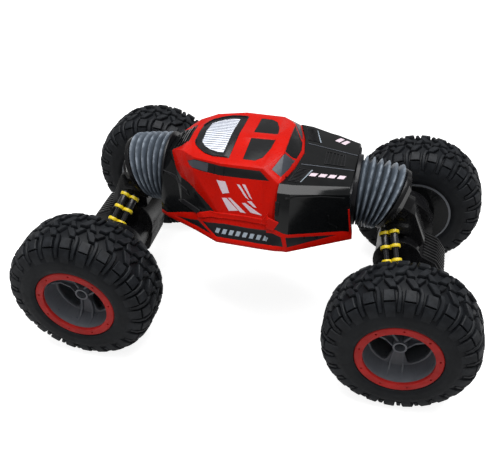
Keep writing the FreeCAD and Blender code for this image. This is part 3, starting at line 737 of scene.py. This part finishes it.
def build_roof_trim():
    """Lines on the white louvre panel, the lip round it and the slats behind it."""
    lines = []
    count = 17
    for k in range(count):
        y = -26.5 + 53.0 * (k + 0.5) / count
        inset = max(abs(y) - 16, 0) * 0.72
        lines.append(strip([(-51.2 + inset, y), (-29.3, y)], 0.75))
    top_trim("louver_lines", lines, ["louver_panel"], "panel_line", 0.18, 4.0)
    lip = [(-58, 12), (-56, 19), (-51, 25.2), (-44, 31.2), (-36.5, 34.6), (-24, 35.2)]
    edge = mirrored([strip(lip, 1.0)])
    top_trim("rear_frame_lip", edge, ["rear_window_frame"], "black_satin", 0.6)
    slats = [strip([(-77 + 3.2 * k, -13.5), (-77 + 3.2 * k, 13.5)], 1.3) for k in range(4)]
    top_trim("rear_deck_slats", slats, ["rear_fenders"], "black_gloss", 1.1, 3.0)


def build_hood_trim():
    """Creases, vents and plain marks on top of the hood."""
    creases = mirrored([strip([(34.5, 17.2), (78.3, 12.0)], 0.9)])
    top_trim("hood_creases", creases, HOOD_SKIN, "crease_grey", 0.35, 3.0)
    vents = []
    for k in range(9):
        share = (k + 0.5) / 9
        y = 24.5 + 18 * share
        vents.append(strip([(34.5 - 5.0 * share, y), (43.0 - 5.5 * share, y)], 1.0))
    side_vent = [(33.8, 23.5), (43.6, 23.5), (37.6, 43.5), (28.8, 43.5)]
    vents += frame_strips(side_vent, 0.8)
    centre_vent = [(52, 10), (68.5, 8.4), (69.5, -8.4), (53, -10)]
    top_trim("hood_vents", mirrored(vents), HOOD_SKIN, "black_satin", 0.45, 2.5)
    centre = frame_strips(centre_vent, 0.9)
    centre += [strip([(54.5 + 3.0 * k, -8.6), (54.5 + 3.0 * k, 8.6)], 0.8) for k in range(5)]
    top_trim("hood_centre_vent", centre, HOOD_SKIN, "black_satin", 0.45, 2.5)
    accents = mirrored([strip([(38.4, 42.5), (44.8, 22.5)], 0.9)])
    top_trim("hood_diagonals", accents, HOOD_SKIN, "decal_grey", 0.3, 3.0)
    bars = [[(45 + 7.6 * k, 26.5 - 1.3 * k), (50.4 + 7.6 * k, 25.7 - 1.3 * k),
             (48.6 + 7.6 * k, 30.6 - 1.3 * k), (43.2 + 7.6 * k, 31.4 - 1.3 * k)] for k in range(4)]
    marks = [[(x, -y) for x, y in bar] for bar in bars]
    marks += [[(56 + 5.5 * k, 31 - 2.4 * k), (60 + 5.5 * k, 29.4 - 2.4 * k), (64 + 5.5 * k, 36 - 2.4 * k),
               (60.4 + 5.5 * k, 37.4 - 2.4 * k)] for k in range(2)]
    top_trim("hood_marks", marks, HOOD_SKIN, "decal_white", 0.12, 3.0)


def build_side_trim():
    """Plain marks, ridges, window panes and seams on both sides of the body."""
    shards = [
        [(-30, 157.3), (-22.4, 157.4), (-18.5, 149.0), (-24, 147.5)],
        [(-24.5, 144.0), (-20.5, 144.5), (-10, 136.0), (-17.8, 134.5)],
        [(-19.5, 145.0), (-17, 145.0), (-3.2, 135.0), (-8, 135.0)],
        [(-12.5, 156.6), (-10.2, 156.6), (-1.5, 146.0), (-4.5, 147.5)],
        [(-8, 157.2), (-5.4, 157.2), (1.2, 146.6), (-1, 148)],
        [(-7.0, 142.4), (-4.6, 143.0), (10.6, 135.2), (1.0, 136.0)],
        [(-3.0, 144.6), (0.5, 145.2), (5.6, 140.6), (3, 140.8)],
    ]
    side_trim("side_slashes", shards, CABIN_SKIN, "decal_white", 0.12)
    ridge = [strip([(-46, 124.0), (-34, 128.6), (-22, 130.6), (-3, 131.2), (11, 131.0)], 3.4)]
    side_trim("side_ridge", ridge, CABIN_SKIN, "red_gloss", 1.4)
    wedge = [[(9, 129), (15.4, 138.4), (25.6, 134.8), (21.5, 127.6), (17, 129)]]
    side_trim("ridge_wedge", wedge, CABIN_SKIN + HOOD_SKIN, "red_gloss", 1.2)
    windows = [[(-58.0, 163.6), (-51.8, 167.6), (-38.2, 168.1), (-38.6, 161.6), (-55.4, 162.1)]]
    side_trim("window_rear_panes", windows, ["side_windows"], "window_grey", 0.15)
    posts = [strip([(-32.6, 161.8), (-32.6, 168.2)], 0.7), strip([(-24.2, 161.9), (-24.2, 168.4)], 0.7)]
    side_trim("window_posts", posts, ["side_windows"], "black_gloss", 0.4)
    fins = [[(-84, 146.2), (-70, 142.4), (-56, 136.5), (-58, 139.8), (-71, 145.0)],
            [(-66, 129.2), (-61, 131.4), (-44.5, 127.8), (-45.5, 124.6)]]
    side_trim("fender_fins", fins, ["rear_fenders"], "black_satin", 1.3)
    squares = [[(x, 117.2), (x + 3.4, 117.2), (x + 4.6, 120.6), (x + 1.2, 120.6)]
               for x in (-28 + 5.9 * k for k in range(8))]
    side_trim("sill_marks", squares, ["sill_panels"], "decal_grey", 0.12)
    brow = [strip([(29.5, 154.6), (40, 155.4), (57, 155.2), (75, 153.0)], 1.0)]
    side_trim("hood_side_brow", brow, HOOD_SKIN, "black_gloss", 0.7)
    flares = [[(21.6, 151.4), (24.8, 151.4), (24.6, 140), (22.2, 138)]]
    side_trim("hood_side_flares", flares, HOOD_SKIN, "black_gloss", 0.9)
    seams = [strip([(63.5, 136.5), (65, 128.4), (71.5, 123.2)], 0.8)]
    side_trim("hood_side_seams", seams, HOOD_SKIN, "black_gloss", 0.5)
    corner = [strip([(79.3, 142), (82.4, 118)], 1.2)]
    side_trim("front_corner_edges", corner, HOOD_SKIN + CABIN_SKIN, "red_gloss", 0.5)


# ---------------------------------------------------------------- axles and wheels

# The glossy disc that closes a wheel's inner side, as (radius, offset) points
WHEEL_COVER = [(8.4, -26.6), (12.0, -27.3), (21.0, -27.7), (27.0, -27.7), (33.0, -28.1), (33.4, -27.8),
               (33.4, -27.45), (28.6, -27.45), (28.2, -26.0), (8.4, -26.0)]

# The outer end of an axle's case, as (x, z) points, and the ribs on it
CASE_FRONT = [(146.5, 86.3), (158.2, 80.3), (166.5, 69), (165.5, 54), (150.5, 37.5)]
CASE_RIBS = 9
CASE_RIB_PITCH = 4.0
CASE_RIB_WIDTH = 1.8
CASE_RIB_HEIGHT = 1.3
CASE_RIB_END_HEIGHT = 0.2


def case_ribs(end):
    """Upright ribs over the outer end of an axle's case."""
    verts = []
    faces = []
    for k in range(CASE_RIBS):
        y = (k - (CASE_RIBS - 1) / 2) * CASE_RIB_PITCH
        base = len(verts)
        for i, (x, z) in enumerate(CASE_FRONT):
            before = CASE_FRONT[max(i - 1, 0)]
            after = CASE_FRONT[min(i + 1, len(CASE_FRONT) - 1)]
            along = Vector((after[0] - before[0], 0, after[1] - before[1])).normalized()
            out = Vector((-along.z, 0, along.x))
            at_end = i in (0, len(CASE_FRONT) - 1)
            proud = CASE_RIB_END_HEIGHT if at_end else CASE_RIB_HEIGHT
            low = Vector((x, y, z)) - out
            high = Vector((x, y, z)) + out * proud
            half = Vector((0, CASE_RIB_WIDTH / 2, 0))
            verts += scaled([low - half, high - half * 0.6, high + half * 0.6, low + half])
        for i in range(len(CASE_FRONT) - 1):
            for m in range(4):
                n = (m + 1) % 4
                a = base + 4 * i
                faces.append((a + m, a + n, a + 4 + n, a + 4 + m))
        last = base + 4 * (len(CASE_FRONT) - 1)
        faces.append((base + 3, base + 2, base + 1, base))
        faces.append((last, last + 1, last + 2, last + 3))
    for vert in verts:
        vert.x *= ENDS[end]
    ribs = joined("case_ribs_" + end, [new_object("case_ribs_shape_" + end, verts, faces)])
    place(smooth(ribs, 40.0), "axle_black", "axle_" + end, "black_satin")


def build_axles():
    """The axles' CAD nodes with rounded edges, and the ribs on their cases."""
    for end in ENDS:
        blocks = ["knuckle_" + end, "gearbox_" + end, "arm_" + end + "_left", "arm_" + end + "_right"]
        for name in blocks:
            place(cad_copy(name, 0.6), "axle_black", "axle_" + end, "black_satin", replaces=(name,))
        case_ribs(end)
        rings = "shock_rings_" + end
        place(cad_copy(rings, 0.5, 30.0), "ring_yellow", "axle_" + end, replaces=(rings,))
        bodies = "shocks_" + end
        place(cad_copy(bodies, 0.3, 30.0), "shock_black", "axle_" + end, replaces=(bodies,))


def build_wheels():
    """Rims, clamping rings and the disc on each wheel's inner side."""
    for corner in CORNERS:
        body = "wheel_" + corner
        rim = "rim_" + corner
        place(cad_copy(rim, 0.4), "rim_grey", body, replaces=(rim,))
        ring = "clamp_ring_" + corner
        place(cad_copy(ring, 0.25), "ring_red", body, replaces=(ring,))
        cover = lathe("wheel_cover_" + corner, WHEEL_COVER, 72)
        cover.matrix_world = wheel_place(corner)
        place(smooth(cover, 40.0), "black_gloss", body)


def dress_hidden_nodes():
    """The internal CAD nodes keep their own shape and get a finish."""
    slots = {s["node"]: s["material_slot"] for s in frame["record"]["subparts"]}
    for name, node in frame["nodes"].items():
        dress(node, slots[name])


# ---------------------------------------------------------------- scene

def build_stage():
    """A plain pale floor that the camera sees brighter than the car does."""
    corners = scaled([(-6000, -6000, 0), (6000, -6000, 0), (6000, 6000, 0), (-6000, 6000, 0)])
    floor = new_object("studio_floor", corners, [(0, 1, 2, 3)])
    material, tree, shader, _ = start_material("studio_floor")
    shader.inputs["Base Color"].default_value = (0.50, 0.50, 0.50, 1)
    shader.inputs["Roughness"].default_value = 0.8
    shader.inputs["Emission Color"].default_value = (1.0, 1.0, 1.0, 1)
    seen = tree.nodes.new("ShaderNodeLightPath").outputs["Is Camera Ray"]
    strength = map_range(tree, seen, *FLOOR_STRENGTH, 0.0, 1.0)
    tree.links.new(strength, shader.inputs["Emission Strength"])
    floor.data.materials.append(material)


def area_light(name, spot, target, size, power):
    """A rectangular light at a spot, facing a target. Metres and watts."""
    data = bpy.data.lights.new(name, "AREA")
    data.shape = "RECTANGLE"
    data.size = size[0]
    data.size_y = size[1]
    data.energy = power
    light = bpy.data.objects.new(name, data)
    bpy.context.scene.collection.objects.link(light)
    light.location = spot
    light.rotation_euler = (Vector(target) - Vector(spot)).to_track_quat("-Z", "Y").to_euler()


def build_lights():
    """A pale studio sky, one large overhead light and a weak one from the front."""
    world = bpy.data.worlds.new("studio")
    bpy.context.scene.world = world
    world.use_nodes = True
    background = next(n for n in world.node_tree.nodes if n.type == "BACKGROUND")
    background.inputs["Color"].default_value = (1.0, 1.0, 1.0, 1)
    seen = world.node_tree.nodes.new("ShaderNodeLightPath").outputs["Is Camera Ray"]
    strength = map_range(world.node_tree, seen, *SKY_STRENGTH, 0.0, 1.0)
    world.node_tree.links.new(strength, background.inputs["Strength"])
    area_light("overhead", (0.05, 0.1, 2.2), (0, 0, 0.1), (2.2, 2.0), 74.0)
    area_light("front_fill", (-0.15, -1.35, 1.75), (0, 0, 0.1), (0.9, 0.5), 2.5)


def build_camera():
    """The camera, from its spot, the way it faces, its roll and its lens."""
    azimuth = math.radians(CAMERA_AZIMUTH)
    elevation = math.radians(CAMERA_ELEVATION)
    roll = math.radians(CAMERA_ROLL)
    back = Vector((math.sin(azimuth) * math.cos(elevation), -math.cos(azimuth) * math.cos(elevation),
                   math.sin(elevation)))
    right = Vector((math.cos(azimuth), math.sin(azimuth), 0))
    up = back.cross(right)
    tilted_right = right * math.cos(roll) + up * math.sin(roll)
    tilted_up = up * math.cos(roll) - right * math.sin(roll)
    data = bpy.data.cameras.new("camera")
    data.sensor_width = 36.0
    data.lens = CAMERA_LENS
    data.shift_x, data.shift_y = CAMERA_SHIFT
    camera = bpy.data.objects.new("camera", data)
    bpy.context.scene.collection.objects.link(camera)
    spot = Vector(CAMERA_SPOT)
    camera.matrix_world = Matrix((
        (tilted_right.x, tilted_up.x, back.x, spot.x),
        (tilted_right.y, tilted_up.y, back.y, spot.y),
        (tilted_right.z, tilted_up.z, back.z, spot.z),
        (0, 0, 0, 1)))
    bpy.context.scene.camera = camera
    bpy.context.scene.view_settings.view_transform = "Standard"


MATERIALS = make_materials()
build_camera()
build_stage()
build_lights()
dress_hidden_nodes()
build_body()
build_roof_trim()
build_hood_trim()
build_side_trim()
for end_name in ENDS:
    build_bellows(end_name)
build_axles()
build_wheels()
build_tyres()
